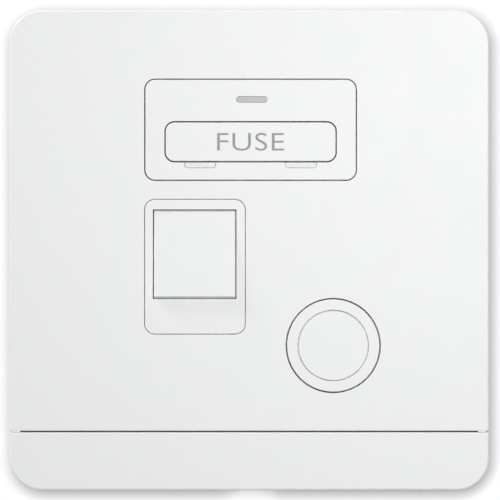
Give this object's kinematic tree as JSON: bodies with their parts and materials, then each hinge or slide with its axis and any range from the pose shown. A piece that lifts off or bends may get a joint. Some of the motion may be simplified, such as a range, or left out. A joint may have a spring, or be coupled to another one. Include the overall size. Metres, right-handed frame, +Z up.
{
  "type": "fused spur unit",
  "caption": "Square white wall plate with a pull-out fuse carrier, an indicator, a rocker switch and a round flex outlet, on a rear housing with terminals and a cord clamp.",
  "frame": {"origin": "middle of the plate in the plane of the wall, midway between the two fixing holes", "axes": "+X to the right and +Z up as seen from the front; +Y from the front plate into the wall"},
  "size_m": [0.086, 0.0317, 0.086],
  "materials": {
    "cover_white": "satin white moulding, very fine grain",
    "frame_white": "plain white moulding",
    "housing_grey": "pale grey flame-retardant moulding",
    "lens_grey": "grey light guide, unlit",
    "lamp_clear": "yellow phosphor window",
    "board_green": "varnished circuit board",
    "resistor_body": "black glazed chip with tinned ends",
    "tinned_pin": "tinned",
    "nylon": "natural nylon",
    "spring_steel": "plated spring wire",
    "contact_copper": "bright stamped copper alloy",
    "contact_silver": "silver alloy rivet",
    "terminal_brass": "turned and drilled brass",
    "screw_steel": "zinc plated",
    "fuse_ceramic": "unglazed ceramic tube",
    "fuse_nickel": "nickel plated"
  },
  "bodies": {
    "base": {"fascia": "cover_white", "lower_strip": "cover_white", "fuse_module": "cover_white", "switch_surround": "cover_white", "flex_outlet_cover": "cover_white", "mounting_frame": "frame_white", "rear_moulding": "housing_grey", "cord_clamp_bar": "housing_grey", "indicator_lens": "lens_grey", "indicator_led": "lamp_clear", "lamp_board": "board_green", "lamp_resistor": "resistor_body", "lamp_leads": "tinned_pin", "pivot_post_line": "contact_copper", "pivot_post_neutral": "contact_copper", "neutral_strip": "contact_copper", "fuse_clip_supply": "contact_copper", "fuse_clip_load": "contact_copper", "fixed_tip_line": "contact_silver", "fixed_tip_neutral": "contact_silver", "terminal_line_in": "terminal_brass", "terminal_neutral_in": "terminal_brass", "terminal_line_load": "terminal_brass", "terminal_neutral_load": "terminal_brass", "terminal_earth": "terminal_brass", "terminal_screws": "screw_steel", "housing_screws": "screw_steel", "cord_clamp_screws": "screw_steel"},
    "switch_rocker": {"rocker": "cover_white", "plunger_line": "nylon", "plunger_neutral": "nylon", "plunger_spring_line": "spring_steel", "plunger_spring_neutral": "spring_steel"},
    "line_contact": {"moving_contact_line": "contact_copper", "moving_tip_line": "contact_silver"},
    "neutral_contact": {"moving_contact_neutral": "contact_copper", "moving_tip_neutral": "contact_silver"},
    "fuse_drawer": {"fuse_carrier": "cover_white", "fuse_tube": "fuse_ceramic", "fuse_cap_left": "fuse_nickel", "fuse_cap_right": "fuse_nickel"}
  },
  "joints": [
    {"name": "rocker_tilt", "type": "hinge", "parent": "base", "child": "switch_rocker", "pos_m": [-0.00977, -0.006, -0.00075], "axis": [1, 0, 0], "range_deg": [0, 8]},
    {"name": "line_contact_tilt", "type": "hinge", "parent": "base", "child": "line_contact", "pos_m": [-0.01337, 0.00555, -0.00075], "axis": [-1, 0, 0], "range_deg": [0, 18]},
    {"name": "neutral_contact_tilt", "type": "hinge", "parent": "base", "child": "neutral_contact", "pos_m": [-0.00617, 0.00555, -0.00075], "axis": [-1, 0, 0], "range_deg": [0, 18]},
    {"name": "drawer_slide", "type": "slide", "parent": "base", "child": "fuse_drawer", "axis": [0, -1, 0], "range_m": [0, 0.022]}
  ],
  "couplings": [
    {"joint": "line_contact_tilt", "follows": "rocker_tilt", "ratio": 2.25},
    {"joint": "neutral_contact_tilt", "follows": "rocker_tilt", "ratio": 2.25}
  ]
}
